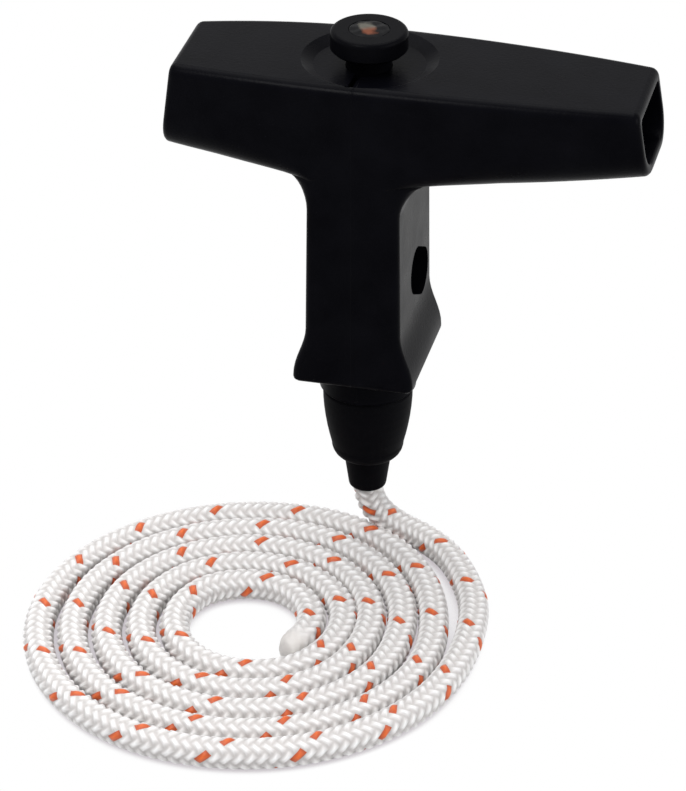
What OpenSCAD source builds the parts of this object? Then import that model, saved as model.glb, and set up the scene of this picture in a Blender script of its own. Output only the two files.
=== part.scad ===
// Recoil starter handle: a hollow T grip on a deep stem, a sprung rope cap on top,
// a rubber rope nozzle below, and the starter rope laid in a flat coil on the floor.
// Millimetres, +Z up along the rope, +X along the longer arm, -Y the front.
// The origin is on the rope's axis, in the stem's flat underside.

/* [Grip bar] */
// Length of the short arm along its top, from the rope's axis
arm_left = 33.2; // [28:0.5:42]
// Length of the long arm along its top, from the rope's axis
arm_right = 48.6; // [40:0.5:60]
// How far an end face leans out from its top edge to its bottom edge
end_lean = 2.1; // [0:0.1:3]
// Width of the bar, front to back, over the stem
bar_w = 26.9; // [26.9:0.1:32]
// Width of the short arm's end
left_end_w = 20.1; // [17:0.1:24]
// Width of the long arm's end
right_end_w = 20.7; // [17:0.1:24]
// How far the bar's middle line lies behind the rope's axis
bar_back = 0.5; // [0:0.1:1]
// Height of the bar over the stem
bar_h = 19; // [18:0.1:24]
// Height of the short arm's end
left_end_h = 16.6; // [13:0.1:17]
// Height of the long arm's end
right_end_h = 13.1; // [12:0.1:16]
// How far the top falls from the middle to each end
crown = 0.8; // [0:0.1:1.5]
// Radius of the long edges on top
top_r = 1.8; // [0.8:0.1:2.6]
// Radius of the long edges below, at the ends
under_r = 6; // [4:0.25:6]
// Wall round the hollow in each arm, at its mouth
arm_wall = 1.9; // [1.4:0.1:3]
// How much the hollow narrows on each side towards the stem
hollow_draft = 0.6; // [0.2:0.1:1.2]

/* [Stem] */
// Height of the stem, from its underside to the bar
stem_h = 39.4; // [34:0.2:50]
// Width of the stem along the bar, just above the flare
stem_w = 17.1; // [16.4:0.2:20]
// How much narrower the stem is on each side at its top
stem_taper = 0.3; // [0:0.05:0.5]
// Depth of the stem, front to back
stem_d = 25.8; // [24:0.2:26.6]
// Radius of the stem's upright edges
stem_edge_r = 1.3; // [0.8:0.1:2.5]
// Radius of the hollow curve from the stem into each arm
fillet_r = 5.5; // [3:0.25:8]
// How far the flare at the foot of the stem stands out on each side
flare_out = 2.3; // [1:0.1:3.5]
// Height of that flare
flare_h = 10.8; // [6:0.2:12]
// Length of the oval window in each side of the stem, which opens into the damper's bore
window_l = 14.4; // [8:0.2:16]
// Width of that window
window_w = 8.6; // [5:0.2:10]
// Height of the window's middle over the stem's underside
window_z = 16.1; // [14:0.2:22]
// How far the window lies behind the rope's axis
window_back = 3.6; // [0:0.2:4]
// Tilt of the window, lower at the back
window_tilt = 28; // [0:1:45]

/* [Seat collar] */
// Outer diameter of the round collar under the stem
collar_d = 17.4; // [16:0.1:18.4]
// Height of the collar
collar_h = 6.2; // [4:0.2:10]
// Bevel at the collar's lower edge
collar_bevel = 0.5; // [0.2:0.1:1]

/* [Cap recess] */
// Diameter of the recess in the bar's top, at its rim
dish_d = 24.2; // [20:0.2:24.6]
// Diameter of its floor
dish_floor_d = 19.6; // [16:0.2:20]
// Depth of the recess
dish_depth = 1.2; // [0.8:0.1:2.5]
// Width of the slit that drains the recess to the front
slit_w = 0.9; // [0.5:0.1:1.5]
// How far the slit lies left of the rope's axis
slit_left = 1.6; // [0:0.1:3]

/* [Cap] */
// Largest diameter of the cap
cap_d = 13.5; // [12.6:0.1:16]
// Thickness of the cap's head
cap_h = 3.8; // [3:0.1:5]
// Radius of the rounded edge on top of the head
cap_edge_r = 0.8; // [0.6:0.1:1.6]
// Height of the cap's underside over the bar's top, which is the damper's travel
cap_lift = 1.8; // [1:0.1:5]
// Diameter of the cap's shank
shank_d = 8; // [7.6:0.1:10]
// Diameter of the counterbore that holds the rope's fused end
end_bore_d = 7.2; // [6.8:0.1:8]
// Depth of that counterbore
end_bore_h = 1.8; // [1.5:0.1:2.4]

/* [Damper] */
// Outer diameter of the elastomer damper
damper_d = 11.6; // [10.6:0.1:12]
// Thickness of the web between the damper and the cap's recess
web_h = 7; // [5:0.2:10]
// Number of turned grooves that let the damper squash
groove_n = 6; // [3:1:8]
// Depth of each groove
groove_depth = 0.9; // [0.4:0.1:1.2]

/* [Nozzle] */
// Diameter of the nozzle just under the collar
nozzle_d = 16.2; // [14:0.1:17.2]
// Diameter where the nozzle turns in to its shoulder
waist_d = 13.1; // [11:0.1:14]
// Height of the nozzle's body, down to its shoulder
nozzle_body_h = 14.3; // [12:0.2:20]
// Height of the rounded shoulder
shoulder_h = 2.6; // [2:0.1:5]
// Diameter at the top of the nozzle's tip
tip_d = 8.5; // [8.2:0.1:9.4]
// Diameter at the tip's lower end
tip_end_d = 6.9; // [6.8:0.1:7.8]
// Height of the tip
tip_h = 6.8; // [3:0.1:8]
// Diameter of the plug that holds the nozzle in the collar
plug_d = 9.8; // [9:0.1:10.4]
// Diameter of the bead that snaps in over the collar's floor
bead_d = 11; // [10.6:0.1:11.4]

/* [Rope] */
// Diameter of the rope
rope_d = 5.5; // [4.5:0.1:5.8]
// Clearance round the rope, inside the cap, the damper and the nozzle
rope_gap = 0.1; // [0.05:0.05:0.3]
// Outer radius of the coil on the floor
coil_r = 40.4; // [40:0.2:42.4]
// Radius of the open middle of the coil
coil_hole_r = 9.2; // [6:0.2:14]

/* [Hidden] */
$fn = 64;

// Clearances between mating pieces
slide_gap = 0.1;
seat_gap = 0.05;
eps = 0.5;

// Levels along the rope's axis
top_z = stem_h + bar_h;
dish_z = top_z - dish_depth;
web_z = dish_z - web_h;
cap_z = top_z + cap_lift;
floor_of_bore = 3;
bead_h = 1.2;
damper_z = floor_of_bore + bead_h + seat_gap;
damper_h = web_z - slide_gap - damper_z;
bore_r = damper_d/2 + slide_gap;
plug_r = plug_d/2;
shoulder_z = -collar_h - nozzle_body_h;
tip_z = shoulder_z - tip_h;
rope_r = rope_d/2;
rope_bore_r = rope_r + rope_gap;

// Number of sections in each arm, and of points round each rounded corner
arm_steps = 14;
top_steps = 4;
under_steps = 8;

// Along each arm the underside rises and its edges grow round, quickly at first beside the stem
rise_power = 1.5;
round_power = 0.35;
round_reach = 16;

function sq(t) = t*t;
function mix(a, b, t) = a + (b - a)*t;
function arm(x) = x < 0 ? arm_left : arm_right;
function end_h(x) = x < 0 ? left_end_h : right_end_h;
function end_w(x) = x < 0 ? left_end_w : right_end_w;

// Half width, top, underside and lower edge radius of the bar at a distance x along it
function bar_half(x) = mix(bar_w, end_w(x), sq(x/arm(x)))/2;
function bar_top(x) = top_z - crown*sq(x/arm(x));
function bar_under(x) = stem_h + (bar_h - crown - end_h(x))*pow(abs(x)/arm(x), rise_power);
function under_edge(x) =
    mix(stem_edge_r, under_r, pow(min(1, max(0, abs(x) - stem_w/2)/round_reach), round_power));

// One rounded corner: points on an arc from angle a0 to a1 about (y, z)
function corner(y, z, r, a0, a1, n) =
    [for (i = [0:n]) let (a = mix(a0, a1, i/n)) [y + r*cos(a), z + r*sin(a)]];

// Outline of the bar's section, counter-clockwise in (y, z)
function section(half, z_top, z_low, r_top, r_low) = concat(
    corner(half - r_top, z_top - r_top, r_top, 0, 90, top_steps),
    corner(r_top - half, z_top - r_top, r_top, 90, 180, top_steps),
    corner(r_low - half, z_low + r_low, r_low, 180, 270, under_steps),
    corner(half - r_low, z_low + r_low, r_low, 270, 360, under_steps));

// A section set across the bar at x, leaning by the given amount over its height
function set_across(outline, x, z_top, z_low, lean) =
    [for (p = outline) [x + lean*(z_top - p[1])/(z_top - z_low), p[0] + bar_back, p[1]]];

function bar_section(x) = let (t = bar_top(x), u = bar_under(x))
    set_across(section(bar_half(x), t, u, top_r, under_edge(x)), x, t, u, end_lean*x/arm(x));

// Skin over sections that all have the same number of points
module skin(sections) {
    n = len(sections[0]);
    m = len(sections);
    polyhedron(
        points = [for (s = sections) for (p = s) p],
        faces = concat(
            [[for (i = [0:n - 1]) i]],
            [for (k = [0:m - 2]) for (i = [0:n - 1]) let (j = (i + 1)%n)
                for (f = [[k*n + i, (k + 1)*n + i, k*n + j], [k*n + j, (k + 1)*n + i, (k + 1)*n + j]]) f],
            [[for (i = [n - 1:-1:0]) (m - 1)*n + i]]));
}

module bar_body() {
    skin([for (i = [-arm_steps:arm_steps])
        bar_section(i < 0 ? i*arm_left/arm_steps : i*arm_right/arm_steps)]);
}

// The hollow of one arm, cored from its mouth; side is -1 for the short arm, 1 for the long one
module arm_hollow(side) {
    x_end = side < 0 ? -arm_left : arm_right;
    z_top = bar_top(x_end) - arm_wall;
    z_low = bar_under(x_end) + arm_wall;
    half = bar_half(x_end) - arm_wall;
    x_in = side*(stem_w/2 + arm_wall);
    low_r = under_r - arm_wall;
    mouth_r = top_r/2;
    mouth = set_across(section(half, z_top, z_low, mouth_r, low_r),
        x_end + side*eps, z_top, z_low, side*end_lean);
    back = set_across(section(half - hollow_draft, z_top - hollow_draft, z_low + hollow_draft,
        mouth_r, low_r), x_in, z_top, z_low, 0);
    skin(side < 0 ? [mouth, back] : [back, mouth]);
}

// Half width of the stem at height z: flared at its foot, curving out under the arms
flare_tip_h = 1;
fillet_top = stem_h + 0.4;
function flare_t(z) = max(0, z - flare_tip_h)/(flare_h - flare_tip_h);
function stem_side(z) = stem_w/2 - stem_taper*max(0, z - flare_h)/(stem_h - flare_h);
function stem_half(z) =
    z < flare_h ? stem_w/2 + flare_out*(1 + cos(180*flare_t(z)))/2
    : z < fillet_top - fillet_r ? stem_side(z)
    : stem_side(stem_h) + fillet_r
        - sqrt(max(0, sq(fillet_r) - sq(min(z, fillet_top) - fillet_top + fillet_r)));
function stem_corner(z) = z < fillet_top - fillet_r ? stem_edge_r
    : max(stem_edge_r, stem_edge_r + 1.3*(stem_half(z) - stem_side(stem_h)));

// Plan of the stem at height z, counter-clockwise from above
function stem_section(z, inset) = let (r = stem_corner(z) - inset/2,
        w = stem_half(z) - inset, d = stem_d/2 - inset)
    [for (q = [[1, -1, -90], [1, 1, 0], [-1, 1, 90], [-1, -1, 180]]) for (i = [0:5])
        let (a = q[2] + 18*i) [q[0]*(w - r) + r*cos(a), q[1]*(d - r) + r*sin(a), z]];

module stem_body() {
    foot_r = 0.7;
    top_of_stem = stem_h + bar_h/3;
    skin(concat(
        [for (i = [0:3]) stem_section(foot_r*(1 - cos(30*i)), foot_r*(1 - sin(30*i)))],
        [for (z = [flare_tip_h:1.2:flare_h]) stem_section(z, 0)],
        [for (z = [flare_h + 0.4, fillet_top - fillet_r]) stem_section(z, 0)],
        [for (i = [1:7]) stem_section(fillet_top - fillet_r + fillet_r*sin(i*11.6), 0)],
        [stem_section(top_of_stem, 0)]));
}

// The oval window in the stem's side, cut into the damper's bore; side is -1 or 1
module side_window(side) {
    oval = window_l - window_w;
    depth = stem_w/2 - bore_r/2;
    translate([side*bore_r/2, window_back, window_z])
        rotate([-window_tilt, 0, 0])
            rotate([0, side*90, 0])
                linear_extrude(depth + eps)
                    union() {
                        square([window_w, oval], center = true);
                        for (end = [-1, 1]) translate([0, end*oval/2]) circle(d = window_w);
                    }
}

// The slit from the cap's recess, with its right lip curving away towards the neck
module drain_slit() {
    lip_r = 3;
    front = bar_w/2 - top_r;
    depth = dish_depth + 1.3;
    translate([-slit_left, -front, top_z - depth])
        cube([slit_w, front - shank_d/2, depth + eps]);
    translate([slit_w - slit_left, -shank_d/2 - lip_r, top_z - depth])
        difference() {
            cube([lip_r*0.7, lip_r, depth + eps]);
            translate([lip_r, 0, -eps]) cylinder(r = lip_r, h = depth + 3*eps);
        }
}

// The one-piece moulded T grip
module grip() {
    color([0.09, 0.09, 0.1])
    difference() {
        union() {
            bar_body();
            stem_body();
            translate([0, 0, -collar_h + collar_bevel]) cylinder(d = collar_d, h = collar_h + 1);
            translate([0, 0, -collar_h])
                cylinder(d1 = collar_d - 2*collar_bevel, d2 = collar_d, h = collar_bevel);
        }
        for (side = [-1, 1]) {
            arm_hollow(side);
            side_window(side);
        }
        // Recess under the cap
        translate([0, bar_back, dish_z]) {
            cylinder(d1 = dish_floor_d, h = dish_depth, d2 = dish_d);
            translate([0, 0, dish_depth]) cylinder(d = dish_d, h = eps);
        }
        drain_slit();
        // Bores for the cap's shank, the damper and the nozzle's plug
        translate([0, 0, web_z - eps]) cylinder(r = shank_d/2 + slide_gap, h = web_h + 2*eps);
        translate([0, 0, floor_of_bore]) cylinder(r = bore_r, h = web_z - floor_of_bore);
        translate([0, 0, -collar_h - eps])
            cylinder(r = plug_r + slide_gap/2, h = collar_h + floor_of_bore + 2*eps);
    }
}

// The mushroom cap that the rope's end is fused into, turned in one piece
module cap() {
    r = cap_d/2;
    foot_r = 0.5;
    end_r = end_bore_d/2;
    top = cap_z + cap_h;
    shank_low = damper_z + damper_h;
    color([0.12, 0.12, 0.13])
    rotate_extrude()
        difference() {
            union() {
                translate([r - cap_edge_r, top - cap_edge_r]) circle(cap_edge_r);
                translate([0, cap_z]) square([r - cap_edge_r, cap_h]);
                translate([0, cap_z + foot_r]) square([r, cap_h - cap_edge_r - foot_r]);
                polygon([[0, cap_z], [r - foot_r, cap_z], [r, cap_z + foot_r], [0, cap_z + foot_r]]);
                translate([0, shank_low]) square([shank_d/2, cap_z - shank_low + foot_r]);
            }
            translate([-r, shank_low - eps]) square([r + rope_bore_r, top - shank_low + 2*eps]);
            polygon([[0, top - end_bore_h], [end_r - 0.6, top - end_bore_h], [end_r, top + 0.01],
                [0, top + 0.01]]);
        }
}

// The elastomer damper in the stem, turned with grooves so that it squashes evenly
module damper() {
    pitch = damper_h/(groove_n + 1);
    groove_w = pitch/2;
    color([0.16, 0.16, 0.17])
    translate([0, 0, damper_z])
    difference() {
        cylinder(d = damper_d, h = damper_h);
        translate([0, 0, -eps]) cylinder(r = rope_bore_r, h = damper_h + 2*eps);
        for (i = [1:groove_n])
            translate([0, 0, i*pitch - groove_w/2])
                difference() {
                    cylinder(d = damper_d + 1, h = groove_w);
                    translate([0, 0, -eps]) cylinder(r = damper_d/2 - groove_depth, h = groove_w + 2*eps);
                }
    }
}

// The rubber nozzle: body, shoulder and tip in one revolve, with a plug and a snap bead above
module nozzle() {
    body_r = nozzle_d/2;
    waist_r = waist_d/2;
    top = -collar_h - seat_gap;
    waist_z = shoulder_z + shoulder_h;
    tip_r = tip_d/2;
    end_r = tip_end_d/2;
    edge = 0.7;
    side = [for (i = [0:6]) let (t = i/6)
        [mix(body_r, waist_r, pow(t, 1.9)), mix(top - 0.6, waist_z, t)]];
    shoulder = [for (a = [15:15:75])
        [tip_r + 0.5 + (waist_r - tip_r - 0.5)*cos(a), mix(waist_z, shoulder_z, sin(a))]];
    profile = concat(
        [[rope_bore_r, floor_of_bore + bead_h], [bead_d/2 - 0.5, floor_of_bore + bead_h],
         [bead_d/2, floor_of_bore + bead_h - 0.6], [bead_d/2, floor_of_bore + seat_gap],
         [plug_r, floor_of_bore + seat_gap], [plug_r, top], [body_r - 0.4, top]],
        side, shoulder,
        [[tip_r + 0.5, shoulder_z], [tip_r, shoulder_z - 0.5]],
        [for (a = [0:30:90]) [end_r - edge + edge*cos(a), tip_z + edge - edge*sin(a)]],
        [[rope_bore_r, tip_z]]);
    color([0.13, 0.13, 0.14]) rotate_extrude() polygon(profile);
}

// The stretch of rope inside the handle, fused to a head in the cap's counterbore
module rope_core() {
    head_z = cap_z + cap_h - end_bore_h + seat_gap;
    head_h = end_bore_h - 0.5;
    color([0.93, 0.92, 0.9]) {
        translate([0, 0, tip_z]) cylinder(r = rope_r, h = head_z - tip_z + eps);
        translate([0, 0, head_z]) cylinder(d1 = end_bore_d - 1.5, d2 = rope_d - 0.5, h = head_h);
    }
}

// The floor under the rope, and the coil's middle on it: its outer edge meets the lead's end
floor_z = -40.4;
rope_z = floor_z + rope_r;
coil_edge_x = 28.2;
coil_x = coil_edge_x - coil_r;
coil_y = -36.3;

// Route of the free rope from the nozzle down to the floor and round to the coil
lead_route = [
    [0, 0, tip_z], [0.4, 0.1, -29.7], [1.4, 0.4, -32.3], [3.4, 0.8, -34.7], [6.4, 0.9, -36.5],
    [9.8, 0.2, -37.4], [13.3, -1.9, rope_z], [16.7, -5.4, rope_z], [19.5, -9.6, rope_z],
    [21.9, -14.2, rope_z], [23.8, -18.9, rope_z], [24.9, -23.5, rope_z], [25.4, -28, rope_z]];

function unit(v) = v/norm(v);
function heading(path, i) = i == 0 ? [0, 0, -1]
    : unit(path[min(i + 1, len(path) - 1)] - path[i - 1]);
// A side direction carried along the path without twist
function carried(path, i) = i == 0 ? [1, 0, 0]
    : let (u = carried(path, i - 1), d = heading(path, i)) unit(u - (u*d)*d);

// Round tube of radius r along a path
module tube(path, r, sides = 10) {
    skin([for (i = [0:len(path) - 1])
        let (d = heading(path, i), u = carried(path, i), w = cross(u, d))
        [for (k = [0:sides - 1]) let (a = -360*k/sides) path[i] + r*(cos(a)*u + sin(a)*w)]]);
}

module rope_lead() {
    color([0.93, 0.92, 0.9]) tube(lead_route, rope_r);
}

// Plan of the lane that the lead takes through the coil's outer edge
function lane_side(side, wide) = [for (i = [1:len(lead_route) - 1])
    let (d = heading(lead_route, i), flat = unit([d[0], d[1]]))
    [lead_route[i][0], lead_route[i][1]] + side*wide*[-flat[1], flat[0]]];

module rope_coil() {
    lane_in = lane_side(-1, rope_r + slide_gap);
    lane_out = lane_side(1, 3*rope_d);
    last = len(lane_out) - 1;
    color([0.93, 0.92, 0.9])
    difference() {
        translate([coil_x, coil_y, floor_z])
            rotate_extrude() {
                for (x = [coil_hole_r + rope_r, coil_r - rope_r]) translate([x, rope_r]) circle(rope_r);
                translate([coil_hole_r + rope_r, 0]) square([coil_r - coil_hole_r - rope_d, rope_d]);
            }
        translate([0, 0, floor_z - eps])
            linear_extrude(rope_d + 2*eps)
                polygon(concat([[-rope_d, 0]], lane_in, [for (i = [last:-1:0]) lane_out[i]],
                    [[-rope_d, 3*rope_d]]));
    }
}

grip();
cap();
damper();
nozzle();
rope_core();
rope_lead();
rope_coil();
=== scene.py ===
import math
import bmesh
import bpy
import numpy as np
from mathutils import Matrix, Vector


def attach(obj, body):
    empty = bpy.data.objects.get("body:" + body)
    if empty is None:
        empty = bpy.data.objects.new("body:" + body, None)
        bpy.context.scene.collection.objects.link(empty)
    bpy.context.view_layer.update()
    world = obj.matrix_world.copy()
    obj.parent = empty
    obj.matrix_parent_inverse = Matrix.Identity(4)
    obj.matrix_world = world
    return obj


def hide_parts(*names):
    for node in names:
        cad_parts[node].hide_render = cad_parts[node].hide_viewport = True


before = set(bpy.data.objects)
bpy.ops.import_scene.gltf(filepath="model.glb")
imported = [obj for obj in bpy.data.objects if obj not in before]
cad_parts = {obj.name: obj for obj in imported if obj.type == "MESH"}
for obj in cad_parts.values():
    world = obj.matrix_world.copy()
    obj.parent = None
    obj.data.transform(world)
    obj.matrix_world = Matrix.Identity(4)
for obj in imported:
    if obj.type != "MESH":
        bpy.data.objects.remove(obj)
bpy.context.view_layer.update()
scene = bpy.context.scene

# Camera: the photograph looks down on the handle from the front, a little from the
# longer arm's side, through a long lens.
camera = bpy.data.objects.new("camera", bpy.data.cameras.new("camera"))
scene.collection.objects.link(camera)
camera.location = (0.1417, -0.6050, 0.3575)
camera.rotation_euler = (math.radians(59.48), 0, math.radians(13.596))
camera.data.lens = 182.05
camera.data.sensor_width = 36
camera.data.clip_start = 0.01
scene.camera = camera

# Rope route: the real rope is 5.5 mm braid. It leaves the nozzle, drops to the floor and
# lies in a flat coil that winds inwards clockwise, seen from above.
ROPE_D = 0.0055
FLOOR_Z = -0.0404
ROPE_Z = FLOOR_Z + ROPE_D/2
TIP_Z = -0.0273
lead = [(0, 0, TIP_Z), (0.0004, 0.0001, -0.0297), (0.0014, 0.0004, -0.0323),
        (0.0034, 0.0008, -0.0347), (0.0064, 0.0009, -0.0365), (0.0098, 0.0002, -0.0374),
        (0.0133, -0.0019, ROPE_Z), (0.0167, -0.0054, ROPE_Z), (0.0195, -0.0096, ROPE_Z),
        (0.0219, -0.0142, ROPE_Z), (0.0238, -0.0189, ROPE_Z), (0.0249, -0.0235, ROPE_Z),
        (0.0254, -0.0280, ROPE_Z)]
COIL = (-0.0122, -0.0363)
COIL_POINTS = 311
OUTER_R = 0.0374
TURN_PITCH = 0.0056
TURNS = 5
END_ANGLE = -38
# Degrees along the coil: where it takes up its own radius, and where each turn steps in
EASE_IN = 25
STEP_AT = 326
STEP_HALF = 38
STEP_GROWTH = 14
# How far the turns lie apart at the front left, and how far each is pushed in at the right
SLACK_ANGLE = 230
SLACK_EASE = 120
SLACK = 0.0009
SLACK_LOSS = 0.0005
PUSHED_IN = (0, 0, 0.0005, 0.0009, 0.0004, 0.0009)
start_angle = math.degrees(math.atan2(lead[-1][1] - COIL[1], lead[-1][0] - COIL[0]))
start_r = math.hypot(lead[-1][0] - COIL[0], lead[-1][1] - COIL[1])
sweep = start_angle - END_ANGLE + 360*TURNS
coil = []
for i in range(1, COIL_POINTS + 1):
    t = i*sweep/COIL_POINTS
    a = math.radians(start_angle - t)
    r = OUTER_R + (start_r - OUTER_R)*max(0, 1 - t/EASE_IN)**2
    # Each turn steps in by one rope at the back right, over a longer way each time
    for k in range(TURNS):
        half = STEP_HALF + STEP_GROWTH*k
        s = min(1, max(0, (t - STEP_AT - 360*k + half)/(2*half)))
        r -= TURN_PITCH*s*s*(3 - 2*s)
    slack = (SLACK - SLACK_LOSS*t/360)*max(0, math.cos(a - math.radians(SLACK_ANGLE)))
    r += slack*min(1, t/SLACK_EASE)
    r -= float(np.interp(t/360, range(len(PUSHED_IN)), PUSHED_IN))*max(0, math.cos(a))
    coil.append((COIL[0] + r*math.cos(a), COIL[1] + r*math.sin(a), ROPE_Z))

# A smooth line through all the route's points
SUBSTEPS = 12
points = np.array(lead + coil)
padded = np.vstack([2*points[0] - points[1], points, 2*points[-1] - points[-2]])
fine = []
for i in range(len(points) - 1):
    p0, p1, p2, p3 = padded[i:i + 4]
    for u in np.arange(0, 1, 1/SUBSTEPS):
        fine.append(0.5*(2*p1 + (p2 - p0)*u + (2*p0 - 5*p1 + 4*p2 - p3)*u**2
                         + (3*p1 - p0 - 3*p2 + p3)*u**3))
fine = np.array(fine + [points[-1]])
along = np.concatenate([[0], np.cumsum(np.linalg.norm(np.diff(fine, axis=0), axis=1))])
rope_length = along[-1]
lead_length = along[SUBSTEPS*(len(lead) - 1)]

# Rope: sixteen strands of polyester yarn, eight each way round, each over two and under two,
# so that their crowns stand in rows like the teeth of a comb. One strand is an orange tracer.
# The rope starts as a flat grid. It is poked and its straight edges are dissolved, so that
# the edges left run with the strands. Then it is rolled round the route.
STRANDS = 8
BRAID_PITCH = 0.01536
LEAD_PITCH = 0.0138
COLUMNS = 24
STRAND_COLUMNS = COLUMNS//STRANDS
STRANDS_APART = 3
CROWN_R = 0.0028
RELIEF = 0.00048
MELT = 0.0060
TIP_R = 0.0016
first_row = round(lead_length/LEAD_PITCH*COLUMNS)
rows = first_row + round((rope_length - lead_length)/BRAID_PITCH*COLUMNS)
bm = bmesh.new()
bmesh.ops.create_grid(bm, x_segments=COLUMNS, y_segments=rows, size=1)
straight = [e for e in bm.edges if not e.is_boundary]
bmesh.ops.poke(bm, faces=bm.faces[:])
bmesh.ops.dissolve_edges(bm, edges=straight, use_verts=False)


def braid(column, row):
    """Which strand lies on top at a place on the grid, and where on its crown that is."""
    a = (column + row)/STRAND_COLUMNS
    b = (row - column)/STRAND_COLUMNS
    i, j = math.floor(a + 1e-4), math.floor(b + 1e-4)
    if (i - j) % 4 < 2:
        return i, True, a - i, ((b - i + 1) % 4)/2
    return j, False, b - j, ((a - j - 2) % 4)/2


# Each face takes the place on its strand's crown as its UV, and the tracer's faces are marked
rope_uv = bm.loops.layers.uv.new("crown")
fused = bm.verts.layers.float.new("fused")
for face in bm.faces:
    middle = face.calc_center_median()
    column, row = (middle.x + 1)/2*COLUMNS, (middle.y + 1)/2*rows - first_row
    strand, leftward, across, length = braid(column, row)
    face.material_index = 1 if leftward and strand % STRANDS == 0 else 0
    for loop in face.loops:
        dx = (loop.vert.co.x + 1)/2*COLUMNS - column
        dy = (loop.vert.co.y + 1)/2*rows - first_row - row
        da, db = (dx + dy)/STRAND_COLUMNS, (dy - dx)/STRAND_COLUMNS
        if not leftward:
            da, db = db, da
        loop[rope_uv].uv = (strand*STRANDS_APART + across + da, length + db/2)

# Frames carried along the route without twist: the first side turns to face up in the coil
count = rows*2 + 1
s_at = np.concatenate([np.linspace(0, lead_length, 2*first_row, endpoint=False),
                       np.linspace(lead_length, rope_length, count - 2*first_row)])
centre = np.stack([np.interp(s_at, along, fine[:, k]) for k in range(3)], 1)
tangent = np.gradient(centre, axis=0)
tangent /= np.linalg.norm(tangent, axis=1)[:, None]
side = np.zeros_like(centre)
side[0] = (1, 0, 0)
for i in range(1, count):
    d = side[i - 1] - tangent[i]*np.dot(side[i - 1], tangent[i])
    side[i] = d/np.linalg.norm(d)
other = np.cross(tangent, side)

for v in bm.verts:
    column, row = (v.co.x + 1)/2*COLUMNS, (v.co.y + 1)/2*rows
    strand, leftward, across, length = braid(column, row - first_row)
    # A crown is a pillow: high in its middle, low along its sides and at its ends
    crown = (math.sin(math.pi*min(1, max(0, across)))**0.7
             *(0.25 + 0.75*math.sin(math.pi*length)**0.6))
    i = int(round(row*2))
    melted = min(1, max(0, 1 - (rope_length - s_at[i])/MELT))
    r = CROWN_R - RELIEF*(1 - crown)*(1 - melted)**0.5
    # The end is fused, and tapers against the turn beside it
    kept = math.sqrt(max(0, 1 - melted**4))
    r = TIP_R + (r - TIP_R)*kept
    mid = centre[i] - (CROWN_R - TIP_R)*(1 - kept)*(0.8*other[i] + side[i])
    v[fused] = min(1, melted*1.6)
    phi = 2*math.pi*column/COLUMNS
    v.co = Vector(mid + r*(math.cos(phi)*side[i] + math.sin(phi)*other[i]))
bmesh.ops.remove_doubles(bm, verts=[v for v in bm.verts if v.is_boundary], dist=1e-6)
bmesh.ops.holes_fill(bm, edges=[e for e in bm.edges if e.is_boundary], sides=0)
bmesh.ops.recalc_face_normals(bm, faces=bm.faces[:])
rope_mesh = bpy.data.meshes.new("rope")
bm.to_mesh(rope_mesh)
bm.free()
rope_mesh.shade_smooth()
rope = bpy.data.objects.new("rope", rope_mesh)
scene.collection.objects.link(rope)
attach(rope, "root")
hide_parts("rope_lead", "rope_coil")

# Yarn: fine fibres run along each crown. Painted shade greys the grooves between the crowns and
# fades out at the fused end, where the crowns melt into one glaze. Both yarns place the same node
# group.
yarn_crown = bpy.data.node_groups.new("yarn_crown", "ShaderNodeTree")
for way, name, kind in (("INPUT", "Crown UV", "Vector"), ("INPUT", "Fused", "Float"),
                        ("INPUT", "Top", "Color"), ("INPUT", "Groove", "Color"),
                        ("OUTPUT", "Colour", "Color"), ("OUTPUT", "Height", "Float")):
    yarn_crown.interface.new_socket(name, in_out=way, socket_type="NodeSocket" + kind)
nodes, links = yarn_crown.nodes, yarn_crown.links
given = nodes.new("NodeGroupInput")
result = nodes.new("NodeGroupOutput")
uv_parts = nodes.new("ShaderNodeSeparateXYZ")
links.new(given.outputs["Crown UV"], uv_parts.inputs[0])
# How far a place is from its crown's middle, across or along, whichever is more
outer = nodes.new("ShaderNodeMath")
outer.operation = "MAXIMUM"
for axis in range(2):
    part = nodes.new("ShaderNodeMath")
    part.operation = "FRACT"
    links.new(uv_parts.outputs[axis], part.inputs[0])
    off = nodes.new("ShaderNodeMath")
    off.operation = "SUBTRACT"
    off.inputs[1].default_value = 0.5
    links.new(part.outputs[0], off.inputs[0])
    far = nodes.new("ShaderNodeMath")
    far.operation = "ABSOLUTE"
    links.new(off.outputs[0], far.inputs[0])
    links.new(far.outputs[0], outer.inputs[axis])
groove = nodes.new("ShaderNodeMapRange")
groove.inputs["From Min"].default_value = 0.08
groove.inputs["From Max"].default_value = 0.44
links.new(outer.outputs[0], groove.inputs["Value"])
unfused = nodes.new("ShaderNodeMapRange")
unfused.inputs["To Min"].default_value = 1
unfused.inputs["To Max"].default_value = 0.1
links.new(given.outputs["Fused"], unfused.inputs["Value"])
furrow = nodes.new("ShaderNodeMath")
furrow.operation = "MULTIPLY"
links.new(groove.outputs[0], furrow.inputs[0])
links.new(unfused.outputs[0], furrow.inputs[1])
stretch = nodes.new("ShaderNodeMapping")
stretch.inputs["Scale"].default_value = (7, 1.2, 1)
links.new(given.outputs["Crown UV"], stretch.inputs["Vector"])
fibre = nodes.new("ShaderNodeTexNoise")
fibre.inputs["Scale"].default_value = 1
fibre.inputs["Detail"].default_value = 2
links.new(stretch.outputs[0], fibre.inputs["Vector"])
# Painted shade: the colour turns from the crown's top colour to the darker groove colour towards
# the crown's edges
tone = nodes.new("ShaderNodeMix")
tone.data_type = "RGBA"
links.new(furrow.outputs[0], tone.inputs[0])
links.new(given.outputs["Top"], tone.inputs[6])
links.new(given.outputs["Groove"], tone.inputs[7])
streak = nodes.new("ShaderNodeMix")
streak.data_type = "RGBA"
streak.blend_type = "MULTIPLY"
streak.inputs[0].default_value = 0.2
links.new(tone.outputs[2], streak.inputs[6])
links.new(fibre.outputs["Fac"], streak.inputs[7])
glazed = nodes.new("ShaderNodeMix")
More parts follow.
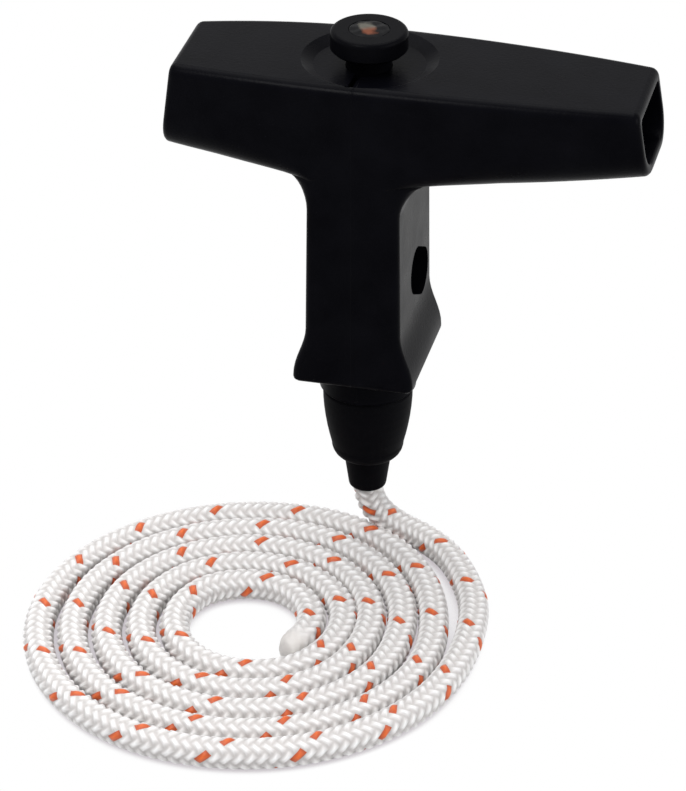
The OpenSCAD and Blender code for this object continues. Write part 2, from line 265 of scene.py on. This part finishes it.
glazed.data_type = "RGBA"
glazed.inputs[7].default_value = (0.60, 0.57, 0.54, 1)
links.new(given.outputs["Fused"], glazed.inputs[0])
links.new(streak.outputs[2], glazed.inputs[6])
links.new(glazed.outputs[2], result.inputs["Colour"])
height = nodes.new("ShaderNodeMath")
height.operation = "SUBTRACT"
links.new(fibre.outputs["Fac"], height.inputs[0])
links.new(furrow.outputs[0], height.inputs[1])
links.new(height.outputs[0], result.inputs["Height"])
# Each yarn's second colour is the painted shade of its grooves
for name, top, painted_groove_shade in (("white_yarn", (0.91, 0.895, 0.88, 1), (0.56, 0.53, 0.51, 1)),
                               ("tracer_yarn", (0.74, 0.125, 0.008, 1), (0.46, 0.065, 0.006, 1))):
    mat = bpy.data.materials.new(name)
    mat.use_nodes = True
    nodes, links = mat.node_tree.nodes, mat.node_tree.links
    bsdf = nodes["Principled BSDF"]
    uv = nodes.new("ShaderNodeUVMap")
    uv.uv_map = "crown"
    melt = nodes.new("ShaderNodeAttribute")
    melt.attribute_name = "fused"
    yarn = nodes.new("ShaderNodeGroup")
    yarn.node_tree = yarn_crown
    yarn.inputs["Top"].default_value = top
    yarn.inputs["Groove"].default_value = painted_groove_shade
    links.new(uv.outputs[0], yarn.inputs["Crown UV"])
    links.new(melt.outputs["Fac"], yarn.inputs["Fused"])
    links.new(yarn.outputs["Colour"], bsdf.inputs["Base Color"])
    bump = nodes.new("ShaderNodeBump")
    bump.inputs["Strength"].default_value = 0.5
    bump.inputs["Distance"].default_value = 0.0002
    links.new(yarn.outputs["Height"], bump.inputs["Height"])
    links.new(bump.outputs[0], bsdf.inputs["Normal"])
    bsdf.inputs["Roughness"].default_value = 0.5
    bsdf.inputs["Sheen Weight"].default_value = 0.2
    rope_mesh.materials.append(mat)

# Grip: one shot of glass-filled nylon, with hollow arms. The rim of each arm's mouth is
# rounded over, outside and in, so this piece is the solid with its two rims made anew.
OUTER_LIP = 0.0011
INNER_LIP = 0.0003
LIP_DEPTHS = (0.00004, 0.00012, 0.0002, INNER_LIP, 0.0005, 0.0008, OUTER_LIP)
ARM_END = 0.030
RIM_WELD = 0.00004
bm = bmesh.new()
bm.from_mesh(bpy.data.objects["grip"].data)
bmesh.ops.remove_doubles(bm, verts=bm.verts[:], dist=1e-6)
for end in (-1, 1):
    rim = [f for f in bm.faces if f.normal.x*end > 0.9 and f.calc_center_median().x*end > ARM_END]
    outward = sum((f.normal*f.calc_area() for f in rim), Vector()).normalized()
    rim_verts = list(dict.fromkeys(v for f in rim for v in f.verts))
    middle = sum((v.co for v in rim_verts), Vector())/len(rim_verts)
    # The flat rim is taken off, and so are the diagonals that run to it along the walls
    bmesh.ops.delete(bm, geom=rim, context="FACES")
    bmesh.ops.remove_doubles(bm, verts=[v for v in bm.verts if v.is_boundary], dist=RIM_WELD)
    diagonals = [e for e in bm.edges if any(v.is_boundary for v in e.verts)
                 and len(e.link_faces) == 2 and e.calc_face_angle() < math.radians(2)]
    bmesh.ops.dissolve_edges(bm, edges=diagonals, use_verts=False)
    for depth in LIP_DEPTHS:
        bmesh.ops.bisect_plane(bm, geom=bm.verts[:] + bm.edges[:] + bm.faces[:], dist=1e-7,
                               plane_co=middle - outward*depth, plane_no=outward)
    # The walls' ends curve towards each other, and a flat ring joins them
    moves = []
    for v in bm.verts:
        depth = max(0, (middle - v.co).dot(outward))
        if v.co.x*end < ARM_END or depth > OUTER_LIP:
            continue
        skin = sum((f.normal*f.calc_area() for f in v.link_faces), Vector())
        skin = (skin - outward*skin.dot(outward)).normalized()
        lip = OUTER_LIP if skin.dot(v.co - middle) > 0 else INNER_LIP
        if depth < lip:
            moves.append((v, skin*(lip - math.sqrt(lip**2 - (lip - depth)**2))))
    for v, move in moves:
        v.co -= move
    ring = bmesh.ops.bridge_loops(bm, edges=[e for e in bm.edges if e.is_boundary])["faces"]
    for face in ring:
        face.normal_update()
        if face.normal.dot(outward) < 0:
            face.normal_flip()
# Shading is smooth over the curves and breaks at edges, also at the shallow ones round the
# slope of the cap's recess
SHARP = math.radians(32)
RECESS_R = 0.0125
RECESS_Z = 0.0555
bm.normal_update()
slope = set()
for face in bm.faces:
    at = face.calc_center_median()
    if (at.z > RECESS_Z and at.xy.length < RECESS_R and 0.5 < face.normal.z < 0.95
            and face.normal.xy.dot(at.xy) < 0):
        slope.add(face)
for edge in bm.edges:
    edge.smooth = edge.calc_face_angle(0) < SHARP and len(slope.intersection(edge.link_faces)) != 1
grip_mesh = bpy.data.meshes.new("moulded_grip")
bm.to_mesh(grip_mesh)
bm.free()
grip_mesh.shade_smooth()
grip = bpy.data.objects.new("moulded_grip", grip_mesh)
scene.collection.objects.link(grip)
weighted = grip.modifiers.new("weighted", "WEIGHTED_NORMAL")
weighted.keep_sharp = True
weighted.weight = 100
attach(grip, "root")
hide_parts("grip")

# Mottle: the mouldings are near black all over, and never quite even. One node group gives
# a noise over the surface, and a tone between two blacks that follows it.
mottle = bpy.data.node_groups.new("mottle", "ShaderNodeTree")
for way, name, kind in (("INPUT", "Place", "Vector"), ("INPUT", "Scale", "Float"),
                        ("INPUT", "Detail", "Float"), ("INPUT", "Dark Until", "Float"),
                        ("INPUT", "Light From", "Float"), ("INPUT", "Dark", "Color"),
                        ("INPUT", "Light", "Color"), ("OUTPUT", "Colour", "Color"),
                        ("OUTPUT", "Noise", "Float")):
    mottle.interface.new_socket(name, in_out=way, socket_type="NodeSocket" + kind)
nodes, links = mottle.nodes, mottle.links
given = nodes.new("NodeGroupInput")
result = nodes.new("NodeGroupOutput")
cloud = nodes.new("ShaderNodeTexNoise")
links.new(given.outputs["Place"], cloud.inputs["Vector"])
links.new(given.outputs["Scale"], cloud.inputs["Scale"])
links.new(given.outputs["Detail"], cloud.inputs["Detail"])
links.new(cloud.outputs["Fac"], result.inputs["Noise"])
share = nodes.new("ShaderNodeMapRange")
links.new(given.outputs["Dark Until"], share.inputs["From Min"])
links.new(given.outputs["Light From"], share.inputs["From Max"])
links.new(cloud.outputs["Fac"], share.inputs["Value"])
tone = nodes.new("ShaderNodeMix")
tone.data_type = "RGBA"
links.new(share.outputs[0], tone.inputs[0])
links.new(given.outputs["Dark"], tone.inputs[6])
links.new(given.outputs["Light"], tone.inputs[7])
links.new(tone.outputs[2], result.inputs["Colour"])


def mottled(name, scale, detail, dark_until, light_from, dark, light):
    """A material whose base colour is the mottle group, with its own values."""
    mat = bpy.data.materials.new(name)
    mat.use_nodes = True
    nodes, links = mat.node_tree.nodes, mat.node_tree.links
    place = nodes.new("ShaderNodeTexCoord")
    group = nodes.new("ShaderNodeGroup")
    group.node_tree = mottle
    for socket, value in (("Scale", scale), ("Detail", detail), ("Dark Until", dark_until),
                          ("Light From", light_from), ("Dark", dark), ("Light", light)):
        group.inputs[socket].default_value = value
    links.new(place.outputs["Object"], group.inputs["Place"])
    links.new(group.outputs["Colour"], nodes["Principled BSDF"].inputs["Base Color"])
    return mat, nodes, links, nodes["Principled BSDF"], place, group


# Grip's skin: satin, with a fine sandy grain, and a faint parting line down the middle of
# the front and back.
mat, nodes, links, bsdf, place, cloud = mottled(
    "grip_nylon", 140, 5, 0.3, 0.75, (0.0009, 0.0009, 0.0017, 1), (0.0022, 0.0022, 0.0034, 1))
rough = nodes.new("ShaderNodeMapRange")
rough.inputs["From Min"].default_value = 0.3
rough.inputs["From Max"].default_value = 0.7
rough.inputs["To Min"].default_value = 0.26
rough.inputs["To Max"].default_value = 0.34
links.new(cloud.outputs["Noise"], rough.inputs["Value"])
links.new(rough.outputs[0], bsdf.inputs["Roughness"])
bsdf.inputs["Specular IOR Level"].default_value = 0.022
grain = nodes.new("ShaderNodeTexNoise")
grain.inputs["Scale"].default_value = 1700
grain.inputs["Detail"].default_value = 4
links.new(place.outputs["Object"], grain.inputs["Vector"])
where = nodes.new("ShaderNodeSeparateXYZ")
links.new(place.outputs["Object"], where.inputs[0])
off_line = nodes.new("ShaderNodeMath")
off_line.operation = "ABSOLUTE"
links.new(where.outputs[0], off_line.inputs[0])
line = nodes.new("ShaderNodeMapRange")
line.inputs["From Min"].default_value = 0.00006
line.inputs["From Max"].default_value = 0.00016
line.inputs["To Min"].default_value = 1
line.inputs["To Max"].default_value = 0
links.new(off_line.outputs[0], line.inputs["Value"])
skin = nodes.new("ShaderNodeMath")
skin.operation = "MULTIPLY_ADD"
skin.inputs[1].default_value = 0.55
links.new(grain.outputs["Fac"], skin.inputs[0])
links.new(line.outputs[0], skin.inputs[2])
bump = nodes.new("ShaderNodeBump")
bump.inputs["Strength"].default_value = 0.5
bump.inputs["Distance"].default_value = 0.0001
links.new(skin.outputs[0], bump.inputs["Height"])
links.new(bump.outputs[0], bsdf.inputs["Normal"])
grip_mesh.materials.append(mat)

# Cap: moulded from the same nylon, smoother than the grip. Nozzle and damper: black rubber,
# matt, with the fine pits of a moulded bush.
for name, pieces, scale, dark, light, roughness, specular, strength, distance in (
        ("cap_nylon", ("cap",), 420, (0.0014, 0.0014, 0.0020, 1), (0.0024, 0.0024, 0.0032, 1),
         0.36, 0.016, 0.25, 0.00008),
        ("black_rubber", ("nozzle", "damper"), 1500, (0.0012, 0.0012, 0.0018, 1),
         (0.0026, 0.0026, 0.0034, 1), 0.55, 0.02, 0.3, 0.00006)):
    mat, nodes, links, bsdf, place, pits = mottled(name, scale, 4, 0, 1, dark, light)
    bsdf.inputs["Roughness"].default_value = roughness
    bsdf.inputs["Specular IOR Level"].default_value = specular
    bump = nodes.new("ShaderNodeBump")
    bump.inputs["Strength"].default_value = strength
    bump.inputs["Distance"].default_value = distance
    links.new(pits.outputs["Noise"], bump.inputs["Height"])
    links.new(bump.outputs[0], bsdf.inputs["Normal"])
    for piece in pieces:
        bpy.data.objects[piece].data.materials.clear()
        bpy.data.objects[piece].data.materials.append(mat)

# Fused end: inside the handle the rope runs straight up to the cap, where its end is melted
# into a bead that fills the counterbore. The melt took up black from the cap, and only a
# patch of white and orange yarn still shows in its middle.
CORE_R = 0.0027
CORE_TOP = 0.0620
BEAD_R = 0.00357
BEAD_TOP = 0.0640
AXIS_R = 0.00001
LUMP = 0.00006
bm = bmesh.new()
profile = [(AXIS_R, TIP_Z), (CORE_R, TIP_Z), (CORE_R, CORE_TOP), (BEAD_R, 0.06225),
           (BEAD_R, 0.06395), (0.0033, 0.0640), (0.0026, BEAD_TOP), (0.0016, 0.06405),
           (0.0008, 0.0641), (AXIS_R, 0.0641)]
ring = [bm.verts.new((x, 0, z)) for x, z in profile]
for low, high in zip(ring, ring[1:]):
    bm.edges.new((low, high))
bmesh.ops.spin(bm, geom=bm.verts[:] + bm.edges[:], cent=(0, 0, 0), axis=(0, 0, 1),
               angle=2*math.pi, steps=48, use_merge=True, use_normal_flip=False,
               use_duplicate=False)
bmesh.ops.remove_doubles(bm, verts=bm.verts[:], dist=2*AXIS_R)
for v in bm.verts:
    if v.co.z > BEAD_TOP - 0.0005:
        v.co.z += LUMP*(math.sin(1900*v.co.x + 0.7)*math.cos(2300*v.co.y - 0.4))
bmesh.ops.recalc_face_normals(bm, faces=bm.faces[:])
bead_mesh = bpy.data.meshes.new("fused_end")
bm.to_mesh(bead_mesh)
bm.free()
bead_mesh.shade_smooth()
bead = bpy.data.objects.new("fused_end", bead_mesh)
scene.collection.objects.link(bead)
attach(bead, "root")
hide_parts("rope_core")
mat = bpy.data.materials.new("fused_rope")
mat.use_nodes = True
nodes, links = mat.node_tree.nodes, mat.node_tree.links
bsdf = nodes["Principled BSDF"]
place = nodes.new("ShaderNodeTexCoord")
swirl = nodes.new("ShaderNodeTexNoise")
swirl.inputs["Scale"].default_value = 420
swirl.inputs["Detail"].default_value = 3
links.new(place.outputs["Object"], swirl.inputs["Vector"])
# An oval patch with a ragged edge, white at one side and orange at the other
centred = nodes.new("ShaderNodeMapping")
centred.vector_type = "TEXTURE"
centred.inputs["Location"].default_value = (-0.0003, 0.0002, 0.0640)
centred.inputs["Rotation"].default_value = (0, 0, math.radians(-62))
centred.inputs["Scale"].default_value = (0.0027, 0.0017, 0.004)
links.new(place.outputs["Object"], centred.inputs["Vector"])
reach = nodes.new("ShaderNodeVectorMath")
reach.operation = "LENGTH"
links.new(centred.outputs[0], reach.inputs[0])
ragged = nodes.new("ShaderNodeMath")
ragged.operation = "MULTIPLY_ADD"
ragged.inputs[1].default_value = 1.3
links.new(swirl.outputs["Fac"], ragged.inputs[0])
links.new(reach.outputs["Value"], ragged.inputs[2])
patch = nodes.new("ShaderNodeMapRange")
patch.inputs["From Min"].default_value = 1.25
patch.inputs["From Max"].default_value = 1.65
patch.inputs["To Min"].default_value = 1
patch.inputs["To Max"].default_value = 0
links.new(ragged.outputs[0], patch.inputs["Value"])
sides = nodes.new("ShaderNodeSeparateXYZ")
links.new(centred.outputs[0], sides.inputs[0])
yarns = nodes.new("ShaderNodeValToRGB")
yarns.color_ramp.elements[0].position = 0.35
yarns.color_ramp.elements[0].color = (0.085, 0.080, 0.066, 1)
yarns.color_ramp.elements[1].position = 0.62
yarns.color_ramp.elements[1].color = (0.13, 0.042, 0.022, 1)
half_way = nodes.new("ShaderNodeMath")
half_way.operation = "MULTIPLY_ADD"
half_way.inputs[1].default_value = 0.45
half_way.inputs[2].default_value = 0.45
links.new(sides.outputs[0], half_way.inputs[0])
links.new(half_way.outputs[0], yarns.inputs[0])
blend = nodes.new("ShaderNodeMix")
blend.data_type = "RGBA"
blend.inputs[6].default_value = (0.002, 0.002, 0.0026, 1)
links.new(patch.outputs[0], blend.inputs[0])
links.new(yarns.outputs[0], blend.inputs[7])
links.new(blend.outputs[2], bsdf.inputs["Base Color"])
bsdf.inputs["Roughness"].default_value = 0.3
bsdf.inputs["Specular IOR Level"].default_value = 0.03
bump = nodes.new("ShaderNodeBump")
bump.inputs["Strength"].default_value = 0.3
bump.inputs["Distance"].default_value = 0.0002
links.new(swirl.outputs["Fac"], bump.inputs["Height"])
links.new(bump.outputs[0], bsdf.inputs["Normal"])
bead_mesh.materials.append(mat)


def white_where_seen(nodes, links, lit, seen, output):
    """Shows one shader to camera, glossy and transmission rays, and another to the rest."""
    rays = nodes.new("ShaderNodeLightPath")
    gloss_or_camera = nodes.new("ShaderNodeMath")
    gloss_or_camera.operation = "MAXIMUM"
    links.new(rays.outputs["Is Camera Ray"], gloss_or_camera.inputs[0])
    links.new(rays.outputs["Is Glossy Ray"], gloss_or_camera.inputs[1])
    shown = nodes.new("ShaderNodeMath")
    shown.operation = "MAXIMUM"
    links.new(gloss_or_camera.outputs[0], shown.inputs[0])
    links.new(rays.outputs["Is Transmission Ray"], shown.inputs[1])
    mix = nodes.new("ShaderNodeMixShader")
    links.new(shown.outputs[0], mix.inputs[0])
    links.new(lit.outputs[0], mix.inputs[1])
    links.new(seen.outputs[0], mix.inputs[2])
    links.new(mix.outputs[0], output.inputs["Surface"])


# Floor: a plain sheet under the coil. It is pale to the light, and for the camera it glows white,
# with painted shade from ambient occlusion deep between the turns of the rope.
BELOW_ROPE = 0.00005
bm = bmesh.new()
bmesh.ops.create_grid(bm, x_segments=1, y_segments=1, size=3,
                      matrix=Matrix.Translation((0, 0, FLOOR_Z - BELOW_ROPE)))
floor_mesh = bpy.data.meshes.new("floor")
bm.to_mesh(floor_mesh)
bm.free()
floor = bpy.data.objects.new("floor", floor_mesh)
scene.collection.objects.link(floor)
mat = bpy.data.materials.new("floor_white")
mat.use_nodes = True
nodes, links = mat.node_tree.nodes, mat.node_tree.links
nodes.remove(nodes["Principled BSDF"])
# Painted shade: ambient occlusion darkens the floor's glow where the rope closes it in
closed_in = nodes.new("ShaderNodeAmbientOcclusion")
closed_in.inputs["Distance"].default_value = 0.009
closed_in.samples = 12
painted_gap_shade = nodes.new("ShaderNodeValToRGB")
painted_gap_shade.color_ramp.elements[0].position = 0.12
painted_gap_shade.color_ramp.elements[0].color = (0.54, 0.50, 0.53, 1)
painted_gap_shade.color_ramp.elements[1].position = 0.40
painted_gap_shade.color_ramp.elements[1].color = (1, 1, 1, 1)
links.new(closed_in.outputs["AO"], painted_gap_shade.inputs[0])
glow = nodes.new("ShaderNodeEmission")
links.new(painted_gap_shade.outputs[0], glow.inputs["Color"])
pale = nodes.new("ShaderNodeBsdfDiffuse")
pale.inputs["Color"].default_value = (0.8, 0.8, 0.8, 1)
white_where_seen(nodes, links, pale, glow, nodes["Material Output"])
floor_mesh.materials.append(mat)

# Lights: a large soft box above and behind, a smaller one from the right, and a small one
# above the front. Each faces the foot of the stem.
AIM = Vector((0, -0.01, 0))
for name, place_at, size, power in (("top_box", (-0.10, 0.25, 0.75), 0.7, 5.0),
                                    ("right_box", (0.8, -0.15, 0.35), 0.5, 3.0),
                                    ("front_box", (-0.20, -0.36, 0.62), 0.25, 3.4)):
    lamp = bpy.data.objects.new(name, bpy.data.lights.new(name, "AREA"))
    lamp.data.size = size
    lamp.data.energy = power
    lamp.location = place_at
    lamp.rotation_euler = (Vector(place_at) - AIM).to_track_quat("Z", "Y").to_euler()
    scene.collection.objects.link(lamp)

# Surroundings: a weak cool light from all round, seen itself as plain white.
world = bpy.data.worlds.new("studio")
scene.world = world
world.use_nodes = True
nodes, links = world.node_tree.nodes, world.node_tree.links
plain = nodes["Background"]
plain.inputs["Color"].default_value = (0.9, 0.93, 1, 1)
plain.inputs["Strength"].default_value = 0.42
clear = nodes.new("ShaderNodeBackground")
clear.inputs["Color"].default_value = (1, 1, 1, 1)
white_where_seen(nodes, links, plain, clear, nodes["World Output"])
scene.view_settings.view_transform = "Standard"
